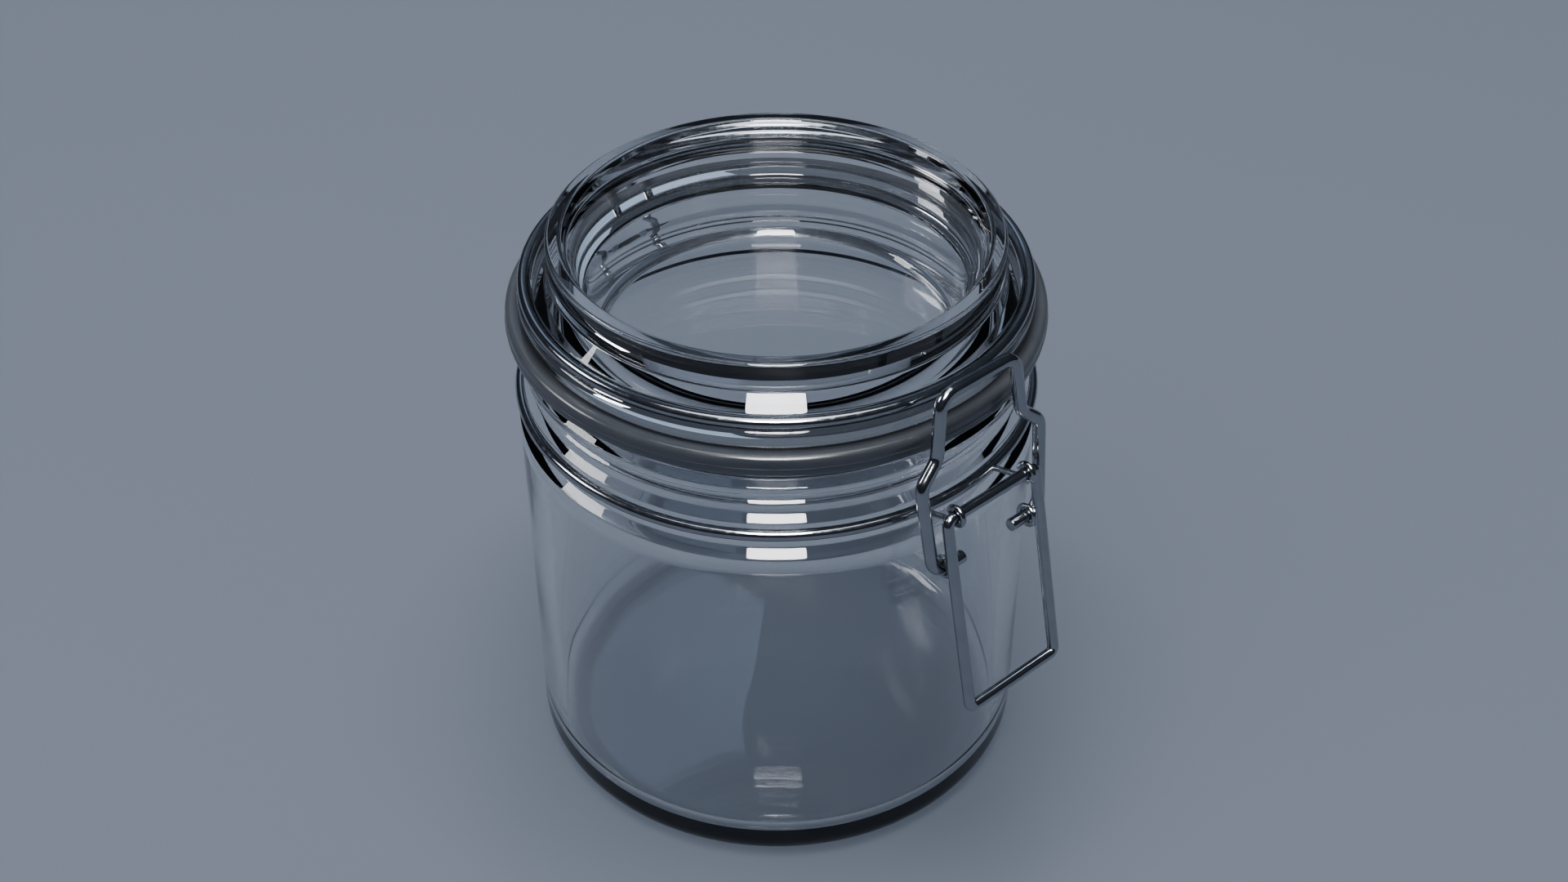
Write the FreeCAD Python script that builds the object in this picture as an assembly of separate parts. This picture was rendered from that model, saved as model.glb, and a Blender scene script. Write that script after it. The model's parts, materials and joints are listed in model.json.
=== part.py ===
import FreeCAD, Part
import math
import os
from FreeCAD import Vector

# Bail clamp jar: a squat glass jar, its dished glass lid with a rubber seal, and a clamp
# bent and welded from steel wire. Millimetres. The jar stands on z = 0 with its axis on Z,
# the clamp faces -Y and the lid hinges at +Y. Wire sizes and places are of centre lines.

os.makedirs("parts", exist_ok=True)

# Wire sizes and fits
WIRE = 2.15                 # rings, lever and hinge
BAIL_WIRE = 2.4
EYE_WIRE = 1.5              # the small welded eyes
RUNNING_FIT = 0.08          # radial play of a wire turning in an eye
LAID_GAP = 0.05             # between glass and the wire laid round it
SHARP_BEND = 1.3            # centre-line radius of the lever's corners
LEVER_EYE_RADIUS = WIRE / 2 + RUNNING_FIT + EYE_WIRE / 2
BAIL_EYE_RADIUS = BAIL_WIRE / 2 + RUNNING_FIT + EYE_WIRE / 2
LOOP_RADIUS = WIRE / 2 + RUNNING_FIT + WIRE / 2

# Jar
BODY_RADIUS = 48.85
BODY_WALL = 3.65
BASE_THICKNESS = 3.0
HEEL_RADIUS = 5.0
INNER_HEEL_RADIUS = 6.0
SHOULDER_Z = 77.1
GROOVE_RADIUS = 46.95       # where the neck ring lies
GROOVE_BOTTOM_Z = 78.6
GROOVE_TOP_Z = 83.5
BEAD_RADIUS = 47.8
BEAD_ROOT_RADIUS = 46.2
MIDDLE_BEAD_RADIUS = 46.9
MIDDLE_BEAD_Z = 87.6
UPPER_BEAD_Z = 91.0
LIP_RADIUS = 46.4
LIP_Z = 96.0
MOUTH_RADIUS = 41.0
NECK_INSIDE_Z = 82.0
BODY_INSIDE_Z = 73.0

# Lid
FLOOR_UNDERSIDE_Z = 87.0
FLOOR_TOP_Z = 91.3
PLUG_RADIUS = 39.2
FLANGE_RADIUS = 47.5
FLANGE_UNDERSIDE_Z = 100.6
UNDERSIDE_CONE_RADIUS = 42.3
UNDERSIDE_CONE_Z = 99.8
FLANGE_TOP_Z = 104.2
SHOULDER_RADIUS = 45.05
SHOULDER_TOP_Z = 106.0
RIM_RADIUS = 41.8
RIM_BOTTOM_Z = 108.4
RIM_Z = 114.0
RIM_CREST_RADIUS = 39.0
RECESS_MOUTH_RADIUS = 38.2
RECESS_MOUTH_Z = 112.8
RECESS_WALL_RADIUS = 36.7
RECESS_WALL_Z = 108.6
RECESS_FOOT_RADIUS = 33.5
RECESS_FOOT_Z = 92.5
RECESS_FLOOR_RADIUS = 32.3

# Seal
SEAL_INNER_RADIUS = 42.4
SEAL_OUTER_RADIUS = 50.0
SEAL_LIFT = 0.1             # between the seal and the jar's lip

# Wire rings
LID_RING_RADIUS = SHOULDER_RADIUS + LAID_GAP + WIRE / 2
LID_RING_Z = FLANGE_TOP_Z + LAID_GAP + WIRE / 2
NECK_RING_RADIUS = 48.15
NECK_RING_Z = 82.4

# Rear hinge
HINGE_Y = 53.2
HINGE_Z = 92.6
HINGE_HALF_WIDTH = 9.0
TAIL_X = 5.0
TAIL_OVER_FLANGE_Y = 48.0
TAIL_OUTSIDE_Z = 95.2
HINGE_BEND = 2.0

# Lever: a closed rectangle that hangs from its top bar and leans outwards
LEVER_HALF_WIDTH = 11.0
LEVER_TOP_Y = -55.9
LEVER_TOP_Z = 86.2
LEVER_BOTTOM_Y = -64.2
LEVER_BOTTOM_Z = 47.6
LEVER_EYE_X = 8.6

# Bail: an upturned U with a jog in each leg and hooked ends
BAIL_TOP_Y = -50.9
BAIL_TOP_Z = 108.9
BAIL_TOP_HALF_WIDTH = 8.9
JOG_START = Vector(10.3, -52.1, 97.1)
JOG_END = Vector(14.6, -52.8, 93.4)
HOOK_CORNER_X = 13.3
HOOK_TIP_X = 6.0
HOOK_Y = -55.5
HOOK_Z = 75.3
BAIL_CORNER_BEND = 2.4
JOG_BEND = 1.8
HOOK_BEND = 2.4
BAIL_EYE_X = 10.2


def bend_at(corner, before, after, radius):
    """Ends, middle and centre of the arc that rounds a corner between two straight runs."""
    to_before = (before - corner).normalize()
    to_after = (after - corner).normalize()
    half_angle = to_before.getAngle(to_after) / 2
    reach = radius / math.tan(half_angle)
    bisector = (to_before + to_after).normalize()
    centre = corner + bisector * (radius / math.sin(half_angle))
    return corner + to_before * reach, centre - bisector * radius, corner + to_after * reach, centre


def turned(corners):
    """Solid of revolution about Z from (radius, height, rounding) corners."""
    points = [Vector(radius, 0, height) for radius, height, rounding in corners]
    count = len(corners)
    stops = []
    for i, (radius, height, rounding) in enumerate(corners):
        if rounding:
            first, middle, last, centre = bend_at(
                points[i], points[i - 1], points[(i + 1) % count], rounding)
            stops.append((first, middle, last))
        else:
            stops.append((points[i], None, points[i]))
    edges = []
    for i, (first, middle, last) in enumerate(stops):
        if middle is not None:
            edges.append(Part.Arc(first, middle, last).toShape())
        following = stops[(i + 1) % count][0]
        if last.distanceToPoint(following) > 1e-4:
            edges.append(Part.LineSegment(last, following).toShape())
    face = Part.Face(Part.Wire(edges))
    return face.revolve(Vector(0, 0, 0), Vector(0, 0, 1), 360)


def disc(centre, normal, diameter):
    return Part.Face(Part.Wire(Part.makeCircle(diameter / 2, centre, normal)))


def bent_wire(points, bends, diameter, closed=False):
    """Round wire through the points, rounded at each inner one by the bend of that place.

    A closed wire starts and ends at its first point, which lies on a straight run."""
    if closed:
        points = points + points[:1]
    pieces = []
    start = points[0]
    for corner, before, after, radius in zip(points[1:-1], points, points[2:], bends):
        first, middle, last, centre = bend_at(corner, before, after, radius)
        run = first - start
        if run.Length > 1e-4:
            pieces.append(Part.makeCylinder(diameter / 2, run.Length, start, run))
        direction = (corner - before).normalize()
        axis = direction.cross((after - corner).normalize())
        turn = math.degrees(direction.getAngle(after - corner))
        pieces.append(disc(first, direction, diameter).revolve(centre, axis, turn))
        start = last
    run = points[-1] - start
    if run.Length > 1e-4:
        pieces.append(Part.makeCylinder(diameter / 2, run.Length, start, run))
    return pieces[0].multiFuse(pieces[1:]).removeSplitter()


def ring(radius, height, diameter):
    return Part.makeTorus(radius, diameter / 2, Vector(0, 0, height), Vector(0, 0, 1))


def both_sides(name, shape):
    """Nodes of a piece made on the right, +X, and of its mirror image on the left."""
    return {
        name + "_right": shape,
        name + "_left": shape.mirror(Vector(0, 0, 0), Vector(1, 0, 0)),
    }


def mirrored_path(half):
    """A path from the left end to the right end, from its right half outwards."""
    left = [Vector(-point.x, point.y, point.z) for point in half]
    return left[::-1] + half


def jar_body():
    inner_radius = BODY_RADIUS - BODY_WALL
    return turned([
        (0, 0, 0),
        (BODY_RADIUS, 0, HEEL_RADIUS),
        (BODY_RADIUS, SHOULDER_Z, 0.7),
        (GROOVE_RADIUS, GROOVE_BOTTOM_Z, 0.5),
        (GROOVE_RADIUS, GROOVE_TOP_Z, 0.3),
        (BEAD_RADIUS, GROOVE_TOP_Z + 0.4, 0.3),
        (BEAD_RADIUS, GROOVE_TOP_Z + 1.0, 0.5),
        (BEAD_ROOT_RADIUS, GROOVE_TOP_Z + 2.3, 0.5),
        (BEAD_ROOT_RADIUS, MIDDLE_BEAD_Z - 0.4, 0.5),
        (MIDDLE_BEAD_RADIUS, MIDDLE_BEAD_Z, 0.3),
        (MIDDLE_BEAD_RADIUS, MIDDLE_BEAD_Z + 0.6, 0.4),
        (BEAD_ROOT_RADIUS, MIDDLE_BEAD_Z + 1.2, 0.4),
        (BEAD_ROOT_RADIUS, UPPER_BEAD_Z - 1.2, 0.4),
        (BEAD_RADIUS, UPPER_BEAD_Z, 0.7),
        (BEAD_RADIUS, UPPER_BEAD_Z + 1.3, 0.5),
        (LIP_RADIUS, UPPER_BEAD_Z + 2.4, 0.5),
        (LIP_RADIUS, LIP_Z, 0.9),
        (MOUTH_RADIUS, LIP_Z, 1.5),
        (MOUTH_RADIUS, NECK_INSIDE_Z, 6.0),
        (inner_radius, BODY_INSIDE_Z, 8.0),
        (inner_radius, BASE_THICKNESS, INNER_HEEL_RADIUS),
        (0, BASE_THICKNESS, 0),
    ])


def lid_glass():
    return turned([
        (0, FLOOR_UNDERSIDE_Z, 0),
        (PLUG_RADIUS - 0.8, FLOOR_UNDERSIDE_Z, 2.5),
        (PLUG_RADIUS, UNDERSIDE_CONE_Z, 0.6),
        (UNDERSIDE_CONE_RADIUS, FLANGE_UNDERSIDE_Z, 0.3),
        (FLANGE_RADIUS, FLANGE_UNDERSIDE_Z, 0.9),
        (FLANGE_RADIUS, FLANGE_TOP_Z, 1.4),
        (SHOULDER_RADIUS, FLANGE_TOP_Z, 0.3),
        (SHOULDER_RADIUS, SHOULDER_TOP_Z, 0.7),
        (RIM_RADIUS, RIM_BOTTOM_Z, 0.6),
        (RIM_RADIUS, RIM_Z, 0.8),
        (RIM_CREST_RADIUS, RIM_Z, 1.0),
        (RECESS_MOUTH_RADIUS, RECESS_MOUTH_Z, 1.0),
        (RECESS_WALL_RADIUS, RECESS_WALL_Z, 1.0),
        (RECESS_FOOT_RADIUS, RECESS_FOOT_Z, 2.0),
        (RECESS_FLOOR_RADIUS, FLOOR_TOP_Z, 0.8),
        (0, FLOOR_TOP_Z, 0),
    ])


def gasket():
    bottom = LIP_Z + SEAL_LIFT
    return turned([
        (SEAL_INNER_RADIUS, bottom, 0.5),
        (SEAL_OUTER_RADIUS, bottom, 2.1),
        (SEAL_OUTER_RADIUS, FLANGE_UNDERSIDE_Z, 2.1),
        (SEAL_INNER_RADIUS, FLANGE_UNDERSIDE_Z, 0.5),
    ])


def lid_hinge_tail():
    """From the lid ring out over the flange, down past the seal and round the hinge bar."""
    on_ring = math.sqrt(LID_RING_RADIUS ** 2 - TAIL_X ** 2)
    outside = HINGE_Y + LOOP_RADIUS
    inside = HINGE_Y - LOOP_RADIUS
    below = HINGE_Z - LOOP_RADIUS
    above = HINGE_Z + LOOP_RADIUS
    path = [
        Vector(TAIL_X, on_ring, LID_RING_Z),
        Vector(TAIL_X, TAIL_OVER_FLANGE_Y, LID_RING_Z),
        Vector(TAIL_X, outside, TAIL_OUTSIDE_Z),
        Vector(TAIL_X, outside, below),
        Vector(TAIL_X, inside, below),
        Vector(TAIL_X, inside, above),
        Vector(TAIL_X, HINGE_Y, above),
    ]
    bends = [HINGE_BEND, HINGE_BEND, LOOP_RADIUS, LOOP_RADIUS, LOOP_RADIUS]
    return bent_wire(path, bends, WIRE)


def hinge_bracket():
    """A wire U that stands on the neck ring and carries the hinge bar."""
    on_ring = math.sqrt(NECK_RING_RADIUS ** 2 - HINGE_HALF_WIDTH ** 2)
    path = mirrored_path([
        Vector(HINGE_HALF_WIDTH, HINGE_Y, HINGE_Z),
        Vector(HINGE_HALF_WIDTH, HINGE_Y, NECK_RING_Z),
        Vector(HINGE_HALF_WIDTH, on_ring, NECK_RING_Z),
    ])
    return bent_wire(path, [HINGE_BEND] * 4, WIRE)


def lever():
    right_side = [
        Vector(LEVER_HALF_WIDTH, LEVER_TOP_Y, LEVER_TOP_Z),
        Vector(LEVER_HALF_WIDTH, LEVER_BOTTOM_Y, LEVER_BOTTOM_Z),
    ]
    left_side = [Vector(-point.x, point.y, point.z) for point in right_side]
    path = [Vector(0, LEVER_TOP_Y, LEVER_TOP_Z)] + right_side + left_side[::-1]
    return bent_wire(path, [SHARP_BEND] * 4, WIRE, closed=True)


def lever_eye():
    """A wire eye about the lever's top bar, with a shank welded on the neck ring."""
    on_ring = -math.sqrt(NECK_RING_RADIUS ** 2 - LEVER_EYE_X ** 2)
    above = LEVER_TOP_Z + LEVER_EYE_RADIUS
    below = LEVER_TOP_Z - LEVER_EYE_RADIUS
    outside = LEVER_TOP_Y - LEVER_EYE_RADIUS
    inside = LEVER_TOP_Y + LEVER_EYE_RADIUS
    path = [
        Vector(LEVER_EYE_X, inside, LEVER_TOP_Z),
        Vector(LEVER_EYE_X, inside, above),
        Vector(LEVER_EYE_X, outside, above),
        Vector(LEVER_EYE_X, outside, below),
        Vector(LEVER_EYE_X, inside, below),
        Vector(LEVER_EYE_X, on_ring, NECK_RING_Z),
    ]
    return bent_wire(path, [LEVER_EYE_RADIUS, LEVER_EYE_RADIUS, LEVER_EYE_RADIUS, SHARP_BEND], EYE_WIRE)


def bail_eye():
    """A closed wire eye welded behind the lever's side, for the bail's hooked end."""
    centre = Vector(BAIL_EYE_X, HOOK_Y, HOOK_Z)
    return Part.makeTorus(BAIL_EYE_RADIUS, EYE_WIRE / 2, centre, Vector(1, 0, 0))


def bail():
    path = mirrored_path([
        Vector(BAIL_TOP_HALF_WIDTH, BAIL_TOP_Y, BAIL_TOP_Z),
        JOG_START,
        JOG_END,
        Vector(HOOK_CORNER_X, HOOK_Y, HOOK_Z),
        Vector(HOOK_TIP_X, HOOK_Y, HOOK_Z),
    ])
    half_bends = [BAIL_CORNER_BEND, JOG_BEND, JOG_BEND, HOOK_BEND]
    return bent_wire(path, half_bends[::-1] + half_bends, BAIL_WIRE)


nodes = {
    "jar_body": jar_body(),
    "lid_glass": lid_glass(),
    "gasket": gasket(),
    "lid_wire_ring": ring(LID_RING_RADIUS, LID_RING_Z, WIRE),
    **both_sides("lid_hinge_tail", lid_hinge_tail()),
    "neck_wire_ring": ring(NECK_RING_RADIUS, NECK_RING_Z, WIRE),
    "hinge_bracket": hinge_bracket(),
    **both_sides("lever_eye", lever_eye()),
    "lever": lever(),
    **both_sides("bail_eye", bail_eye()),
    "bail": bail(),
}

for node, shape in nodes.items():
    shape.exportStep("parts/" + node + ".step")
    print(node, shape.isValid(), round(shape.Volume, 1))
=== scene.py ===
import json
import math

import bmesh
import bpy
from mathutils import Matrix, Vector, noise


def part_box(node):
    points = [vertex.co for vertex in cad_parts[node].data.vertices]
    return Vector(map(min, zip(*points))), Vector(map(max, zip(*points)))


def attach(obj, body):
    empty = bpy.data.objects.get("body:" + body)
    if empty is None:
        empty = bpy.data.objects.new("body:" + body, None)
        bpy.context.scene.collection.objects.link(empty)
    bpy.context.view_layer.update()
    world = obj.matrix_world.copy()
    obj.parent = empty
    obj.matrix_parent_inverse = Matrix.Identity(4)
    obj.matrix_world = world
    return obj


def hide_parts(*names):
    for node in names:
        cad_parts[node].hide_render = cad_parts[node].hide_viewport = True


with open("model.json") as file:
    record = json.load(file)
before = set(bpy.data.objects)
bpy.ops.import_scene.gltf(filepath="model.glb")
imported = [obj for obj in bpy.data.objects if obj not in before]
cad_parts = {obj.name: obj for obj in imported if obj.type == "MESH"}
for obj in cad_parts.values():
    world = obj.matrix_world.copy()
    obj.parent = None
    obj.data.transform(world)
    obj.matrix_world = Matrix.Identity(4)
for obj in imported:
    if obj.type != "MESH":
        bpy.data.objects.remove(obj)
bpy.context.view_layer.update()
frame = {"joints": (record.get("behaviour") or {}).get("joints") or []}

MM = 0.001

# ---------------------------------------------------------------------------
# Sizes: read from the frame, with those that it can't say named here
# ---------------------------------------------------------------------------

JAR_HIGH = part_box("jar_body")[1]
LID_LOW, LID_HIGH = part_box("lid_glass")
SEAL_LOW, SEAL_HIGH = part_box("gasket")
LID_RING_LOW, LID_RING_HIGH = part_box("lid_wire_ring")
NECK_RING_LOW, NECK_RING_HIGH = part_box("neck_wire_ring")
TAIL_LOW, TAIL_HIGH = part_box("lid_hinge_tail_right")
BRACKET_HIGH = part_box("hinge_bracket")[1]
LEVER_LOW, LEVER_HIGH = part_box("lever")
LEVER_EYE_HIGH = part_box("lever_eye_right")[1]
BAIL_EYE_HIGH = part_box("bail_eye_right")[1]
BAIL_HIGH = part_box("bail")[1]
JOINT_AT = {joint["name"]: Vector(joint["pos_m"]) for joint in frame["joints"]}
HINGE = JOINT_AT["lid_hinge"]
LEVER_PIVOT = JOINT_AT["lever_pivot"]
BAIL_PIVOT = JOINT_AT["bail_pivot"]

WIRE = LID_RING_HIGH.z - LID_RING_LOW.z
LID_RING_RADIUS = (LID_RING_HIGH.x - LID_RING_LOW.x - WIRE) / 2
LID_RING_Z = (LID_RING_LOW.z + LID_RING_HIGH.z) / 2
NECK_RING_RADIUS = (NECK_RING_HIGH.x - NECK_RING_LOW.x - WIRE) / 2
NECK_RING_Z = (NECK_RING_LOW.z + NECK_RING_HIGH.z) / 2
BAIL_WIRE = 2.4 * MM
EYE_WIRE = 1.1 * MM
RUNNING_FIT = 0.08 * MM
LEVER_EYE_RADIUS = (WIRE + EYE_WIRE) / 2 + RUNNING_FIT
BAIL_EYE_RADIUS = (BAIL_WIRE + EYE_WIRE) / 2 + RUNNING_FIT
LOOP_RADIUS = WIRE + RUNNING_FIT

BODY_RADIUS = JAR_HIGH.x
BODY_WALL = 3.65 * MM
BODY_TOP_Z = 77.1 * MM
BASE_THICKNESS = 3.0 * MM
LIP_Z = JAR_HIGH.z
LIP_RADIUS = 46.4 * MM
MOUTH_RADIUS = 41.0 * MM
NECK_STRAIGHT = 14.0 * MM
NECK_FLARE_END = 23.0 * MM
GROOVE_RADIUS = 46.95 * MM
GROOVE_FOOT_Z = 78.6 * MM
GROOVE_TOP_Z = 83.5 * MM
BEAD_RADIUS = 47.8 * MM
BEAD_ROOT_RADIUS = 46.2 * MM
MIDDLE_BEAD_RADIUS = 46.9 * MM
MIDDLE_BEAD_Z = 87.6 * MM
UPPER_BEAD_Z = 91.0 * MM

PLUG_RADIUS = 39.2 * MM
UNDERSIDE_CONE_RADIUS = 42.3 * MM
FLANGE_RADIUS = LID_HIGH.x
RING_AIR_GAP = 0.05 * MM
FLANGE_TOP_Z = LID_RING_LOW.z - RING_AIR_GAP
LID_SHOULDER_RADIUS = 45.05 * MM
RIM_RADIUS = 41.8 * MM
RECESS_MOUTH_RADIUS = 38.2 * MM
RECESS_WALL_RADIUS = 36.7 * MM
RECESS_FOOT_RADIUS = 33.5 * MM
RECESS_FLOOR_RADIUS = 32.3 * MM
LID_FLOOR_THICKNESS = 4.3 * MM
SEAL_INNER_RADIUS = 42.4 * MM
SEAL_FLASH = 0.12 * MM
SEAL_AIR_GAP = 0.05 * MM

TAIL_OVER_FLANGE_Y = 48.0 * MM
TAIL_OUTSIDE_Z = 95.2 * MM
TAIL_BEND = 2.0 * MM
BRACKET_BEND = 2.0 * MM
LEVER_BEND = 1.3 * MM
BAIL_BEND = 3.2 * MM
BAIL_JOG_BEND = 2.8 * MM
BAIL_TOP_HALF = 8.9 * MM
BAIL_JOG_TOP_HALF = 10.3 * MM
BAIL_JOG_TOP_OUT = 1.2 * MM
BAIL_JOG_TOP_DROP = 11.8 * MM
BAIL_JOG_FOOT_HALF = 14.6 * MM
BAIL_JOG_FOOT_OUT = 1.9 * MM
BAIL_JOG_FOOT_DROP = 15.5 * MM
BAIL_HOOK_OUTER = 13.3 * MM
BAIL_HOOK_INNER = 6.0 * MM
EYE_SHANK_BEND = 1.3 * MM
LID_WELD = (1.05 * MM, 0.9 * MM, 0.9 * MM)
LID_WELD_OUT = WIRE * 0.45
BRACKET_WELD = (1.05 * MM, 0.9 * MM, 0.95 * MM)
EYE_WELD = (0.6 * MM, 0.5 * MM, 0.6 * MM)
EYE_WELD_RAISE = 0.1 * MM
NECK_WELD_OUT = WIRE * 0.4
WELD_LUMP_DEPTH = 0.16
WELD_LUMPINESS = 1.7

ARC_STEP = math.radians(7)
ARC_RUN = 2.0 * MM
SEGMENTS = 192
WIRE_SIDES = 24
WAVE_FADE = 10 * MM
CUT_EDGE_SHARE = 0.22
CUT_EDGE_STEPS = 4
SAME_PLACE = 1e-6


# ---------------------------------------------------------------------------
# Outlines, lathes and tubes
# ---------------------------------------------------------------------------

def bend(corner, before, after, radius):
    """Points of the arc that rounds a corner, from the first straight run to the second."""
    to_before = (before - corner).normalized()
    to_after = (after - corner).normalized()
    half_angle = to_before.angle(to_after) / 2
    reach = radius / math.tan(half_angle)
    centre = corner + (to_before + to_after).normalized() * (radius / math.sin(half_angle))
    turn = math.pi - 2 * half_angle
    steps = max(2, math.ceil(turn / ARC_STEP), math.ceil(turn * radius / ARC_RUN))
    spoke = corner + to_before * reach - centre
    axis = to_after.cross(to_before)
    return [centre + Matrix.Rotation(turn * i / steps, 3, axis) @ spoke for i in range(steps + 1)]


def rounded(corners, spacing, closed=False, hold=0.0):
    """Points along straight runs joined by arcs. Each corner is (point, bend radius).

    hold is how near its ends a straight run gets an extra point, which keeps it flat when shaded."""
    count = len(corners)
    stops = []
    for i, (point, radius) in enumerate(corners):
        inner = closed or 0 < i < count - 1
        if radius and inner:
            before = corners[i - 1][0]
            after = corners[(i + 1) % count][0]
            stops.append(bend(point, before, after, radius))
        else:
            stops.append([point])
    line = []
    for i, stop in enumerate(stops):
        line += stop
        if i == count - 1 and not closed:
            break
        start = stop[-1]
        run = stops[(i + 1) % count][0] - start
        pieces = max(1, round(run.length / spacing))
        held = hold / run.length if hold and run.length > 4 * hold else 0
        if held:
            line.append(start + run * held)
        line += [start + run * k / pieces for k in range(1, pieces)]
        if held:
            line.append(start + run * (1 - held))
    kept = [line[0]]
    for point in line[1:]:
        if (point - kept[-1]).length > SAME_PLACE:
            kept.append(point)
    if closed and (kept[-1] - kept[0]).length < SAME_PLACE:
        kept.pop()
    return kept


def piece_from(name, mesh_data):
    """An object in the scene from a bmesh, smooth shaded."""
    mesh = bpy.data.meshes.new(name)
    bmesh.ops.recalc_face_normals(mesh_data, faces=mesh_data.faces)
    mesh_data.to_mesh(mesh)
    mesh_data.free()
    mesh.shade_smooth()
    obj = bpy.data.objects.new(name, mesh)
    bpy.context.scene.collection.objects.link(obj)
    return obj


def lathe(name, corners, spacing=1.8 * MM, closed=False, shape=None):
    """A turned solid about Z from (radius, height, rounding) corners.

    shape moves a point of the surface, so that moulded glass isn't perfectly round."""
    outline = [(Vector((radius, 0, height)), rounding) for radius, height, rounding in corners]
    profile = rounded(outline, spacing, closed, hold=0.1 * MM)
    bm = bmesh.new()
    rings = []
    for point in profile:
        if point.x < SAME_PLACE:
            rings.append([bm.verts.new(point)])
            continue
        ring = []
        for i in range(SEGMENTS):
            turned = Matrix.Rotation(math.tau * i / SEGMENTS, 3, "Z") @ point
            ring.append(bm.verts.new(shape(turned) if shape else turned))
        rings.append(ring)
    pairs = list(zip(rings, rings[1:]))
    if closed:
        pairs.append((rings[-1], rings[0]))
    for lower, upper in pairs:
        for i in range(SEGMENTS):
            j = (i + 1) % SEGMENTS
            corners_here = [lower[i % len(lower)], lower[j % len(lower)],
                            upper[j % len(upper)], upper[i % len(upper)]]
            bm.faces.new(list(dict.fromkeys(corners_here)))
    return piece_from(name, bm)


def tube(bm, line, diameter, closed=False):
    """Adds a round wire along a line of points, with softly broken edges on cut ends."""
    count = len(line)
    tangents = []
    for i in range(count):
        before = line[i - 1] if closed or i else line[i]
        after = line[(i + 1) % count] if closed or i < count - 1 else line[i]
        tangents.append((after - before).normalized())
    side = tangents[0].orthogonal().normalized()
    frames = []
    for i, tangent in enumerate(tangents):
        if i:
            side = tangents[i - 1].rotation_difference(tangent) @ side
        side = (side - tangent * side.dot(tangent)).normalized()
        frames.append((line[i], tangent, side, diameter / 2))
    twist = 0.0
    if closed:
        end = tangents[-1].rotation_difference(tangents[0]) @ side
        first = frames[0][2]
        twist = math.atan2(end.cross(first).dot(tangents[0]), end.dot(first))
    if not closed:
        frames = cut_end(frames[0], -1)[::-1] + frames[1:-1] + cut_end(frames[-1], 1)
    rings = []
    for i, (centre, tangent, across, radius) in enumerate(frames):
        up = tangent.cross(across)
        offset = twist * i / len(frames)
        ring = []
        for k in range(WIRE_SIDES):
            angle = math.tau * k / WIRE_SIDES + offset
            spoke = across * math.cos(angle) + up * math.sin(angle)
            ring.append(bm.verts.new(centre + spoke * radius))
        rings.append(ring)
    pairs = list(zip(rings, rings[1:]))
    if closed:
        pairs.append((rings[-1], rings[0]))
    for lower, upper in pairs:
        for k in range(WIRE_SIDES):
            j = (k + 1) % WIRE_SIDES
            bm.faces.new([lower[k], lower[j], upper[j], upper[k]])
    if not closed:
        bm.faces.new(rings[0][::-1])
        bm.faces.new(rings[-1])


def cut_end(frame_here, direction):
    """Rings that round the edge of a cut end. direction is 1 where the wire ends, -1 where it starts."""
    centre, tangent, across, radius = frame_here
    edge = radius * CUT_EDGE_SHARE
    rings = []
    for i in range(CUT_EDGE_STEPS + 1):
        angle = math.pi / 2 * i / CUT_EDGE_STEPS
        along = edge * (math.sin(angle) - 1)
        inset = edge * (1 - math.cos(angle))
        rings.append((centre + tangent * along * direction, tangent, across, radius - inset))
    return rings


def wire_piece(name, corners, diameter, closed=False, spacing=2.0 * MM):
    """An object that is one bent wire."""
    bm = bmesh.new()
    tube(bm, rounded(corners, spacing, closed), diameter, closed)
    return piece_from(name, bm)


def circle(radius, height):
    """Corners of the square round a circle, whose four bends meet."""
    square = [(radius, radius), (-radius, radius), (-radius, -radius), (radius, -radius)]
    return [(Vector((x, y, height)), radius) for x, y in square]


def mirrored(corners):
    """A path from the left end to the right end, from its right half outwards."""
    left = [(Vector((-point.x, point.y, point.z)), radius) for point, radius in corners]
    return left[::-1] + corners


def weld(bm, centre, size, seed):
    """A small lumpy nugget where two wires are welded, size along X, Y and Z."""
    made = bmesh.ops.create_icosphere(bm, subdivisions=3, radius=1)
    for vert in made["verts"]:
        lump = 1 + WELD_LUMP_DEPTH * noise.noise(vert.co * WELD_LUMPINESS + Vector((seed, 0, 0)))
        vert.co = centre + Vector([vert.co[k] * size[k] * lump for k in range(3)])


# ---------------------------------------------------------------------------
# Glass and seal
# ---------------------------------------------------------------------------

def moulded(outer_wave, inner_wave, wave_length, wall_radius, quiet_above):
    """Slow hollows in moulded glass, deeper inside than outside and none above a height."""
    def move(point):
        radius = math.hypot(point.x, point.y)
        fade = min(1, max(0, (quiet_above - point.z) / WAVE_FADE))
        depth = outer_wave if radius > wall_radius else inner_wave
        wave = (noise.noise(point / wave_length) - 1) / 2 * depth * fade
        stretch = 1 + wave / max(radius, WAVE_FADE)
        return Vector((point.x * stretch, point.y * stretch, point.z))
    return move


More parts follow.
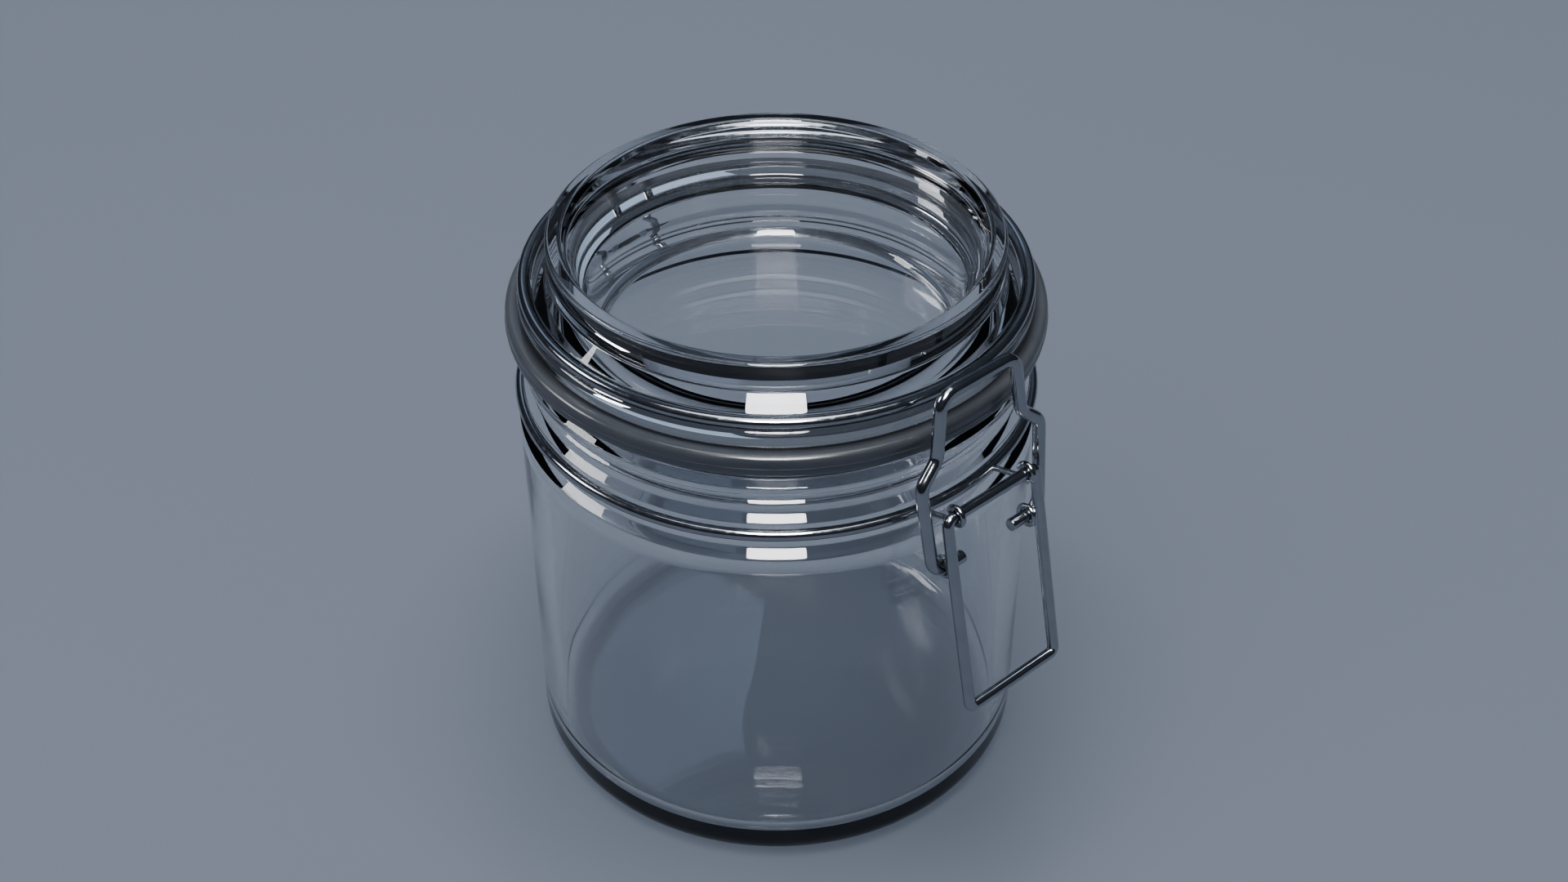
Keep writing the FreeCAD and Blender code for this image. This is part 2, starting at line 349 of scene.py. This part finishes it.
def jar_glass():
    """The jar: heel, body, ring groove, two beads and the lip, then the inside back down."""
    inner_radius = BODY_RADIUS - BODY_WALL
    corners = [
        (0, 0, 0),
        (BODY_RADIUS, 0, 5.0 * MM),
        (BODY_RADIUS, BODY_TOP_Z, 0.7 * MM),
        (GROOVE_RADIUS, GROOVE_FOOT_Z, 0.5 * MM),
        (GROOVE_RADIUS, GROOVE_TOP_Z, 0.3 * MM),
        (BEAD_RADIUS, GROOVE_TOP_Z + 0.4 * MM, 0.3 * MM),
        (BEAD_RADIUS, GROOVE_TOP_Z + 1.0 * MM, 0.5 * MM),
        (BEAD_ROOT_RADIUS, GROOVE_TOP_Z + 2.3 * MM, 0.5 * MM),
        (BEAD_ROOT_RADIUS, MIDDLE_BEAD_Z - 0.4 * MM, 0.5 * MM),
        (MIDDLE_BEAD_RADIUS, MIDDLE_BEAD_Z, 0.3 * MM),
        (MIDDLE_BEAD_RADIUS, MIDDLE_BEAD_Z + 0.6 * MM, 0.4 * MM),
        (BEAD_ROOT_RADIUS, MIDDLE_BEAD_Z + 1.2 * MM, 0.4 * MM),
        (BEAD_ROOT_RADIUS, UPPER_BEAD_Z - 1.2 * MM, 0.4 * MM),
        (BEAD_RADIUS, UPPER_BEAD_Z, 0.7 * MM),
        (BEAD_RADIUS, UPPER_BEAD_Z + 1.3 * MM, 0.5 * MM),
        (LIP_RADIUS, UPPER_BEAD_Z + 2.4 * MM, 0.5 * MM),
        (LIP_RADIUS, LIP_Z, 0.9 * MM),
        (MOUTH_RADIUS, LIP_Z, 1.5 * MM),
        (MOUTH_RADIUS, LIP_Z - NECK_STRAIGHT, 6.0 * MM),
        (inner_radius, LIP_Z - NECK_FLARE_END, 8.0 * MM),
        (inner_radius, BASE_THICKNESS, 6.0 * MM),
        (0, BASE_THICKNESS, 0),
    ]
    waves = moulded(outer_wave=0.05 * MM, inner_wave=0.22 * MM, wave_length=26 * MM,
                    wall_radius=BODY_RADIUS - BODY_WALL / 2, quiet_above=74 * MM)
    jar = lathe("jar_glass", corners, shape=waves)
    return dress(jar, "jar", "jar_glass", "jar_body")


def lid_glass():
    """The lid: plug, flange and rim from below, then the dished recess down to its floor."""
    floor_top = LID_LOW.z + LID_FLOOR_THICKNESS
    corners = [
        (0, LID_LOW.z, 0),
        (PLUG_RADIUS - 0.8 * MM, LID_LOW.z, 2.5 * MM),
        (PLUG_RADIUS, SEAL_HIGH.z - 0.8 * MM, 0.6 * MM),
        (UNDERSIDE_CONE_RADIUS, SEAL_HIGH.z, 0.3 * MM),
        (FLANGE_RADIUS, SEAL_HIGH.z, 0.9 * MM),
        (FLANGE_RADIUS, FLANGE_TOP_Z, 1.4 * MM),
        (LID_SHOULDER_RADIUS, FLANGE_TOP_Z, 0.3 * MM),
        (LID_SHOULDER_RADIUS, FLANGE_TOP_Z + 1.8 * MM, 0.7 * MM),
        (RIM_RADIUS, FLANGE_TOP_Z + 4.2 * MM, 0.6 * MM),
        (RIM_RADIUS, LID_HIGH.z, 0.8 * MM),
        (RIM_RADIUS - 2.8 * MM, LID_HIGH.z, 1.0 * MM),
        (RECESS_MOUTH_RADIUS, LID_HIGH.z - 1.2 * MM, 1.0 * MM),
        (RECESS_WALL_RADIUS, LID_HIGH.z - 5.4 * MM, 1.0 * MM),
        (RECESS_FOOT_RADIUS, floor_top + 1.2 * MM, 2.0 * MM),
        (RECESS_FLOOR_RADIUS, floor_top, 0.8 * MM),
        (0, floor_top, 0),
    ]
    waves = moulded(outer_wave=0.03 * MM, inner_wave=0.12 * MM, wave_length=21 * MM,
                    wall_radius=RIM_RADIUS, quiet_above=LID_HIGH.z)
    lid = lathe("lid_glass_dish", corners, shape=waves)
    return dress(lid, "lid", "lid_glass", "lid_glass")


def seal_ring():
    """The seal, with the fine flash line of its mould round the middle."""
    top = SEAL_HIGH.z - SEAL_AIR_GAP
    middle = (SEAL_LOW.z + SEAL_HIGH.z) / 2
    outer = SEAL_HIGH.x
    corners = [
        (SEAL_INNER_RADIUS, SEAL_LOW.z, 0.5 * MM),
        (outer - SEAL_FLASH, SEAL_LOW.z, 1.4 * MM),
        (outer - SEAL_FLASH, middle - SEAL_FLASH, 0),
        (outer, middle, 0.05 * MM),
        (outer - SEAL_FLASH, middle + SEAL_FLASH, 0),
        (outer - SEAL_FLASH, top, 1.2 * MM),
        (SEAL_INNER_RADIUS, top, 0.5 * MM),
    ]
    seal = lathe("seal_ring", corners, spacing=1.0 * MM, closed=True)
    return dress(seal, "lid", "seal_rubber", "gasket")


# ---------------------------------------------------------------------------
# Wires
# ---------------------------------------------------------------------------

def wire_ring(name, radius, height, body, node):
    """A closed wire ring round the jar or the lid."""
    ring = wire_piece(name, circle(radius, height), WIRE, closed=True)
    return dress(ring, body, "wire_steel", node)


def side_name(side):
    """The jar's own right is at +X, where side is 1."""
    return "right" if side > 0 else "left"


def hinge_tail(side):
    """A wire from the lid ring out over the flange, down past the seal and round the hinge bar."""
    x = (TAIL_LOW.x + TAIL_HIGH.x) / 2
    on_ring = math.sqrt(LID_RING_RADIUS ** 2 - x ** 2)
    outside = HINGE.y + LOOP_RADIUS
    inside = HINGE.y - LOOP_RADIUS
    below = HINGE.z - LOOP_RADIUS
    above = HINGE.z + LOOP_RADIUS
    corners = [
        (Vector((side * x, on_ring, LID_RING_Z)), 0),
        (Vector((side * x, TAIL_OVER_FLANGE_Y, LID_RING_Z)), TAIL_BEND),
        (Vector((side * x, outside, TAIL_OUTSIDE_Z)), TAIL_BEND),
        (Vector((side * x, outside, below)), LOOP_RADIUS),
        (Vector((side * x, inside, below)), LOOP_RADIUS),
        (Vector((side * x, inside, above)), LOOP_RADIUS),
        (Vector((side * x, HINGE.y, above)), 0),
    ]
    bm = bmesh.new()
    tube(bm, rounded(corners, 1.5 * MM), WIRE)
    weld(bm, Vector((side * x, on_ring + LID_WELD_OUT, LID_RING_Z)), LID_WELD, side)
    name = side_name(side)
    return dress(piece_from("lid_tail_wire_" + name, bm), "lid", "wire_steel", "lid_hinge_tail_" + name)


def hinge_bracket():
    """A wire U that stands on the neck ring at the back, with the hinge bar as its top."""
    half_width = BRACKET_HIGH.x - WIRE / 2
    on_ring = math.sqrt(NECK_RING_RADIUS ** 2 - half_width ** 2)
    corners = mirrored([
        (Vector((half_width, HINGE.y, HINGE.z)), BRACKET_BEND),
        (Vector((half_width, HINGE.y, NECK_RING_Z)), BRACKET_BEND),
        (Vector((half_width, on_ring, NECK_RING_Z)), 0),
    ])
    bm = bmesh.new()
    tube(bm, rounded(corners, 1.5 * MM), WIRE)
    for side in (-1, 1):
        weld(bm, Vector((side * half_width, on_ring + NECK_WELD_OUT, NECK_RING_Z)), BRACKET_WELD, 3 + side)
    return dress(piece_from("hinge_bracket_wire", bm), "jar", "wire_steel", "hinge_bracket")


def lever():
    """A closed wire rectangle that leans out from its top bar, which is its pivot."""
    half_width = LEVER_HIGH.x - WIRE / 2
    bottom_y = LEVER_LOW.y + WIRE / 2
    bottom_z = LEVER_LOW.z + WIRE / 2
    corners = [
        (Vector((half_width, LEVER_PIVOT.y, LEVER_PIVOT.z)), LEVER_BEND),
        (Vector((half_width, bottom_y, bottom_z)), LEVER_BEND),
        (Vector((-half_width, bottom_y, bottom_z)), LEVER_BEND),
        (Vector((-half_width, LEVER_PIVOT.y, LEVER_PIVOT.z)), LEVER_BEND),
    ]
    wire = wire_piece("lever_wire", corners, WIRE, closed=True, spacing=1.5 * MM)
    return dress(wire, "lever", "wire_steel", "lever")


def lever_eye(side):
    """A wire eye about the lever's top bar, with a shank welded on the neck ring."""
    x = LEVER_EYE_HIGH.x - EYE_WIRE / 2
    on_ring = -math.sqrt(NECK_RING_RADIUS ** 2 - x ** 2)
    above = LEVER_PIVOT.z + LEVER_EYE_RADIUS
    below = LEVER_PIVOT.z - LEVER_EYE_RADIUS
    outside = LEVER_PIVOT.y - LEVER_EYE_RADIUS
    inside = LEVER_PIVOT.y + LEVER_EYE_RADIUS
    corners = [
        (Vector((side * x, inside, LEVER_PIVOT.z)), 0),
        (Vector((side * x, inside, above)), LEVER_EYE_RADIUS),
        (Vector((side * x, outside, above)), LEVER_EYE_RADIUS),
        (Vector((side * x, outside, below)), LEVER_EYE_RADIUS),
        (Vector((side * x, inside, below)), EYE_SHANK_BEND),
        (Vector((side * x, on_ring, NECK_RING_Z)), 0),
    ]
    bm = bmesh.new()
    tube(bm, rounded(corners, 1.2 * MM), EYE_WIRE)
    foot = Vector((side * x, on_ring - NECK_WELD_OUT, NECK_RING_Z + EYE_WELD_RAISE))
    weld(bm, foot, EYE_WELD, 7 + side)
    name = side_name(side)
    return dress(piece_from("lever_eye_wire_" + name, bm), "jar", "wire_steel", "lever_eye_" + name)


def bail_eye(side):
    """A closed wire eye welded behind the lever's side, for the bail's hooked end."""
    x = BAIL_EYE_HIGH.x - EYE_WIRE / 2
    square = [(1, 1), (-1, 1), (-1, -1), (1, -1)]
    reach = BAIL_EYE_RADIUS
    corners = [(Vector((side * x, BAIL_PIVOT.y + reach * y, BAIL_PIVOT.z + reach * z)), reach)
               for y, z in square]
    bm = bmesh.new()
    tube(bm, rounded(corners, 1.0 * MM, closed=True), EYE_WIRE, closed=True)
    name = side_name(side)
    return dress(piece_from("bail_eye_wire_" + name, bm), "lever", "wire_steel", "bail_eye_" + name)


def bail():
    """An upturned U with a jog in each leg and hooked ends that turn in the lever's eyes."""
    top_y = BAIL_HIGH.y - BAIL_WIRE / 2
    top_z = BAIL_HIGH.z - BAIL_WIRE / 2
    jog_top = (BAIL_JOG_TOP_HALF, top_y - BAIL_JOG_TOP_OUT, top_z - BAIL_JOG_TOP_DROP)
    jog_foot = (BAIL_JOG_FOOT_HALF, top_y - BAIL_JOG_FOOT_OUT, top_z - BAIL_JOG_FOOT_DROP)
    corners = mirrored([
        (Vector((BAIL_TOP_HALF, top_y, top_z)), BAIL_BEND),
        (Vector(jog_top), BAIL_JOG_BEND),
        (Vector(jog_foot), BAIL_JOG_BEND),
        (Vector((BAIL_HOOK_OUTER, BAIL_PIVOT.y, BAIL_PIVOT.z)), BAIL_BEND),
        (Vector((BAIL_HOOK_INNER, BAIL_PIVOT.y, BAIL_PIVOT.z)), 0),
    ])
    wire = wire_piece("bail_wire", corners, BAIL_WIRE, spacing=1.5 * MM)
    return dress(wire, "bail", "wire_steel", "bail")


# ---------------------------------------------------------------------------
# Materials
# ---------------------------------------------------------------------------

GLASS_TINT = ((0.975, 0.983, 0.993), (0.987, 0.992, 0.999))
GLASS_SHADE = (0.835, 0.85, 0.87)
STEEL = ((0.31, 0.325, 0.35), (0.41, 0.43, 0.46))
# Seal colours: near black under the glass as painted shade, lighter grey on the outer face as painted
# light.
RUBBER_BLACK_PAINTED_SHADE = (0.005, 0.005, 0.006)
RUBBER_OUTER_PAINTED_LIGHT = ((0.1, 0.11, 0.13), (0.2, 0.212, 0.235))
PAINTED_LIGHT_FROM_RADIUS = SEAL_HIGH.x - 4 * MM
PAINTED_LIGHT_FULL_RADIUS = SEAL_HIGH.x - 1.5 * MM
FLOOR_COLOURS = ((0.395, 0.445, 0.545), (0.415, 0.465, 0.565))


def new_material(name):
    """A material with its nodes, its links and its main shader."""
    material = bpy.data.materials.new(name)
    material.use_nodes = True
    nodes = material.node_tree.nodes
    return material, nodes, material.node_tree.links, nodes["Principled BSDF"]


def add_noise(nodes, links, scale, detail, stretch=(1, 1, 1)):
    """A noise texture in the piece's own metres, drawn out by stretch."""
    place = nodes.new("ShaderNodeTexCoord")
    mapping = nodes.new("ShaderNodeMapping")
    mapping.inputs["Scale"].default_value = stretch
    texture = nodes.new("ShaderNodeTexNoise")
    texture.inputs["Scale"].default_value = scale
    texture.inputs["Detail"].default_value = detail
    links.new(place.outputs["Object"], mapping.inputs["Vector"])
    links.new(mapping.outputs["Vector"], texture.inputs["Vector"])
    return texture.outputs["Fac"]


def spread(nodes, links, value, low, high, start=0.3, end=0.7):
    """Maps a noise value to a range of a shader's number."""
    mapped = nodes.new("ShaderNodeMapRange")
    mapped.inputs["From Min"].default_value = start
    mapped.inputs["From Max"].default_value = end
    mapped.inputs["To Min"].default_value = low
    mapped.inputs["To Max"].default_value = high
    links.new(value, mapped.inputs["Value"])
    return mapped.outputs["Result"]


def tint(nodes, links, value, dark, light):
    """A colour between two, by a value."""
    mix = nodes.new("ShaderNodeMix")
    mix.data_type = "RGBA"
    mix.inputs["A"].default_value = (*dark, 1)
    mix.inputs["B"].default_value = (*light, 1)
    links.new(value, mix.inputs["Factor"])
    return mix.outputs["Result"]


def add_bump(nodes, links, shader, height, distance, strength):
    """Fine relief of a surface, distance high."""
    bump = nodes.new("ShaderNodeBump")
    bump.inputs["Distance"].default_value = distance
    bump.inputs["Strength"].default_value = strength
    links.new(height, bump.inputs["Height"])
    links.new(bump.outputs["Normal"], shader.inputs["Normal"])


def glass_material(name):
    """Clear pressed glass: slow ripples, faint smears, and lamps shine through it."""
    material, nodes, links, shader = new_material(name)
    shader.inputs["Transmission Weight"].default_value = 1.0
    shader.inputs["IOR"].default_value = 1.5
    smears = add_noise(nodes, links, 28, 5)
    links.new(spread(nodes, links, smears, 0.0, 0.012, 0.5, 0.8), shader.inputs["Roughness"])
    body = add_noise(nodes, links, 9, 2)
    links.new(tint(nodes, links, body, *GLASS_TINT), shader.inputs["Base Color"])
    ripples = add_noise(nodes, links, 55, 1.5, (1, 1, 0.45))
    add_bump(nodes, links, shader, ripples, 0.05 * MM, 0.6)
    path = nodes.new("ShaderNodeLightPath")
    through = nodes.new("ShaderNodeBsdfTransparent")
    through.inputs["Color"].default_value = (*GLASS_SHADE, 1)
    mix = nodes.new("ShaderNodeMixShader")
    links.new(path.outputs["Is Shadow Ray"], mix.inputs["Fac"])
    links.new(shader.outputs["BSDF"], mix.inputs[1])
    links.new(through.outputs["BSDF"], mix.inputs[2])
    links.new(mix.outputs["Shader"], nodes["Material Output"].inputs["Surface"])
    return material


def wire_material():
    """Bright drawn steel: mirror-like, with drawing scratches and slightly duller patches."""
    material, nodes, links, shader = new_material("bright_wire")
    shader.inputs["Metallic"].default_value = 1.0
    patches = add_noise(nodes, links, 260, 4)
    links.new(tint(nodes, links, patches, *STEEL), shader.inputs["Base Color"])
    scuffs = add_noise(nodes, links, 900, 6)
    links.new(spread(nodes, links, scuffs, 0.07, 0.18), shader.inputs["Roughness"])
    grain = add_noise(nodes, links, 2600, 3, (1, 1, 0.25))
    add_bump(nodes, links, shader, grain, 0.02 * MM, 0.35)
    return material


def seal_material():
    """Black rubber, smooth under the glass and darkened there as painted shade; its outer face is painted
    lighter grey and streaked as painted light and reflection; a fine grain.
    """
    material, nodes, links, shader = new_material("seal_rubber")
    # Stretched streaks: rougher and smoother bands, and lighter and darker bands in the outer colour as
    # painted reflection.
    streaks_and_painted_reflection = add_noise(nodes, links, 90, 4, (1, 1, 6))
    outer_painted_light = tint(nodes, links, streaks_and_painted_reflection, *RUBBER_OUTER_PAINTED_LIGHT)
    place = nodes.new("ShaderNodeTexCoord")
    flat = nodes.new("ShaderNodeVectorMath")
    flat.operation = "MULTIPLY"
    flat.inputs[1].default_value = (1, 1, 0)
    links.new(place.outputs["Object"], flat.inputs[0])
    reach = nodes.new("ShaderNodeVectorMath")
    reach.operation = "LENGTH"
    links.new(flat.outputs["Vector"], reach.inputs[0])
    # Mask by radius: black painted shade under the glass, lighter painted light on the outer face.
    outside = spread(nodes, links, reach.outputs["Value"], 0, 1, PAINTED_LIGHT_FROM_RADIUS, PAINTED_LIGHT_FULL_RADIUS)
    colour = nodes.new("ShaderNodeMix")
    colour.data_type = "RGBA"
    colour.inputs["A"].default_value = (*RUBBER_BLACK_PAINTED_SHADE, 1)
    links.new(outer_painted_light, colour.inputs["B"])
    links.new(outside, colour.inputs["Factor"])
    links.new(colour.outputs["Result"], shader.inputs["Base Color"])
    roughness = nodes.new("ShaderNodeMix")
    roughness.inputs["A"].default_value = 0.06
    links.new(spread(nodes, links, streaks_and_painted_reflection, 0.13, 0.27), roughness.inputs["B"])
    links.new(outside, roughness.inputs["Factor"])
    links.new(roughness.outputs["Result"], shader.inputs["Roughness"])
    shader.inputs["Specular IOR Level"].default_value = 0.5
    grain = add_noise(nodes, links, 1500, 3)
    add_bump(nodes, links, shader, grain, 0.03 * MM, 0.25)
    return material


def floor_material():
    """A matt grey-blue table top, faintly clouded."""
    material, nodes, links, shader = new_material("pale_floor")
    cloud = add_noise(nodes, links, 3.5, 3)
    links.new(tint(nodes, links, cloud, *FLOOR_COLOURS), shader.inputs["Base Color"])
    shader.inputs["Roughness"].default_value = 0.85
    shader.inputs["Specular IOR Level"].default_value = 0.15
    grain = add_noise(nodes, links, 700, 3)
    add_bump(nodes, links, shader, grain, 0.05 * MM, 0.3)
    return material


MATERIALS = {
    "jar_glass": glass_material("jar_glass"),
    "lid_glass": glass_material("lid_glass"),
    "seal_rubber": seal_material(),
    "wire_steel": wire_material(),
}


def dress(piece, body, slot, *nodes):
    """Gives a piece the material of its slot, puts it on its body, and hides the CAD nodes that it stands
    for.
    """
    piece.data.materials.append(MATERIALS[slot])
    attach(piece, body)
    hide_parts(*nodes)
    return piece


# ---------------------------------------------------------------------------
# Floor, lights and camera
# ---------------------------------------------------------------------------

CAMERA_AZIMUTH = -42.0
CAMERA_PITCH = 38.4
CAMERA_DISTANCE = 0.423
CAMERA_ASIDE = 0.0014
AIM_SHARE = 0.57
LENS = 50
SENSOR_WIDTH = 36
FLOOR_HALF_WIDTH = 0.9
FLOOR_DROP = 0.1 * MM
ROOM_HORIZON = (0.022, 0.024, 0.029)
ROOM_ABOVE = (0.05, 0.06, 0.08)


def direction(azimuth, elevation):
    """Towards a place seen from the jar. Azimuth 0 is in front, at -Y, and grows to the right."""
    a = math.radians(azimuth)
    e = math.radians(elevation)
    return Vector((math.sin(a) * math.cos(e), -math.cos(a) * math.cos(e), math.sin(e)))


def look_at(obj, target):
    """Turns a camera or a lamp towards a place."""
    obj.rotation_euler = (target - obj.location).to_track_quat("-Z", "Y").to_euler()


def camera():
    """The camera, which looks down on the jar from the front left."""
    aim = Vector((0, 0, LID_HIGH.z * AIM_SHARE))
    data = bpy.data.cameras.new("camera")
    data.lens = LENS
    data.sensor_width = SENSOR_WIDTH
    data.clip_start = 0.01
    obj = bpy.data.objects.new("camera", data)
    bpy.context.scene.collection.objects.link(obj)
    obj.location = aim + direction(CAMERA_AZIMUTH, CAMERA_PITCH) * CAMERA_DISTANCE
    look_at(obj, aim)
    obj.location += obj.rotation_euler.to_matrix() @ Vector((CAMERA_ASIDE, 0, 0))
    bpy.context.scene.camera = obj


def softbox(name, azimuth, elevation, distance, size, power, colour,
            reflects=True, refracts=True, lights=True, roll=0):
    """A rectangular lamp that faces the jar, placed by angles from the camera's azimuth.

    It reflects in shiny surfaces, shows through glass and lights matt surfaces, unless told not to."""
    data = bpy.data.lights.new(name, "AREA")
    data.shape = "RECTANGLE"
    data.size, data.size_y = size
    data.energy = power
    data.color = colour
    obj = bpy.data.objects.new(name, data)
    bpy.context.scene.collection.objects.link(obj)
    middle = Vector((0, 0, LID_HIGH.z / 2))
    obj.location = middle + direction(CAMERA_AZIMUTH + azimuth, elevation) * distance
    look_at(obj, middle)
    obj.rotation_euler.rotate_axis("Z", math.radians(roll))
    obj.visible_glossy = reflects
    obj.visible_transmission = refracts
    obj.visible_diffuse = lights
    obj.visible_camera = False


def floor():
    """A plain floor just under the jar's base."""
    bm = bmesh.new()
    bmesh.ops.create_grid(bm, x_segments=8, y_segments=8, size=FLOOR_HALF_WIDTH)
    plane = piece_from("floor", bm)
    plane.location.z = -FLOOR_DROP
    plane.data.materials.append(floor_material())


def surroundings():
    """A dim grey room, darker at the horizon than overhead."""
    world = bpy.data.worlds.new("room")
    world.use_nodes = True
    nodes = world.node_tree.nodes
    links = world.node_tree.links
    place = nodes.new("ShaderNodeTexCoord")
    split = nodes.new("ShaderNodeSeparateXYZ")
    links.new(place.outputs["Generated"], split.inputs["Vector"])
    links.new(tint(nodes, links, split.outputs["Z"], ROOM_HORIZON, ROOM_ABOVE),
              nodes["Background"].inputs["Color"])
    bpy.context.scene.world = world


# ---------------------------------------------------------------------------
# The jar in its studio
# ---------------------------------------------------------------------------

jar_glass()
lid_glass()
seal_ring()
wire_ring("lid_ring_wire", LID_RING_RADIUS, LID_RING_Z, "lid", "lid_wire_ring")
wire_ring("neck_ring_wire", NECK_RING_RADIUS, NECK_RING_Z, "jar", "neck_wire_ring")
for side in (-1, 1):
    hinge_tail(side)
    lever_eye(side)
    bail_eye(side)
hinge_bracket()
lever()
bail()

floor()
surroundings()
camera()
softbox("window", 0, 62, 1.0, (0.29, 0.40), 22.0, (0.97, 0.97, 1.0), lights=False)
softbox("key", -50, 55, 1.5, (1.2, 1.2), 2.4, (0.98, 0.985, 1.0), reflects=False, refracts=False)
softbox("left", -92, 34, 0.9, (0.26, 0.24), 3.0, (0.93, 0.95, 1.0), lights=False)
softbox("back", 197, 44, 1.0, (0.34, 0.30), 0.2, (0.55, 0.72, 1.0), lights=False, roll=-25)
softbox("backdrop", 180, 31, 1.1, (1.1, 0.44), 0.16, (0.65, 0.78, 1.0), lights=False)
softbox("fill", 0, 90, 2.2, (1.4, 1.4), 23.5, (0.93, 0.96, 1.0), refracts=False)
bpy.context.scene.cycles.caustics_reflective = False
bpy.context.scene.cycles.caustics_refractive = False
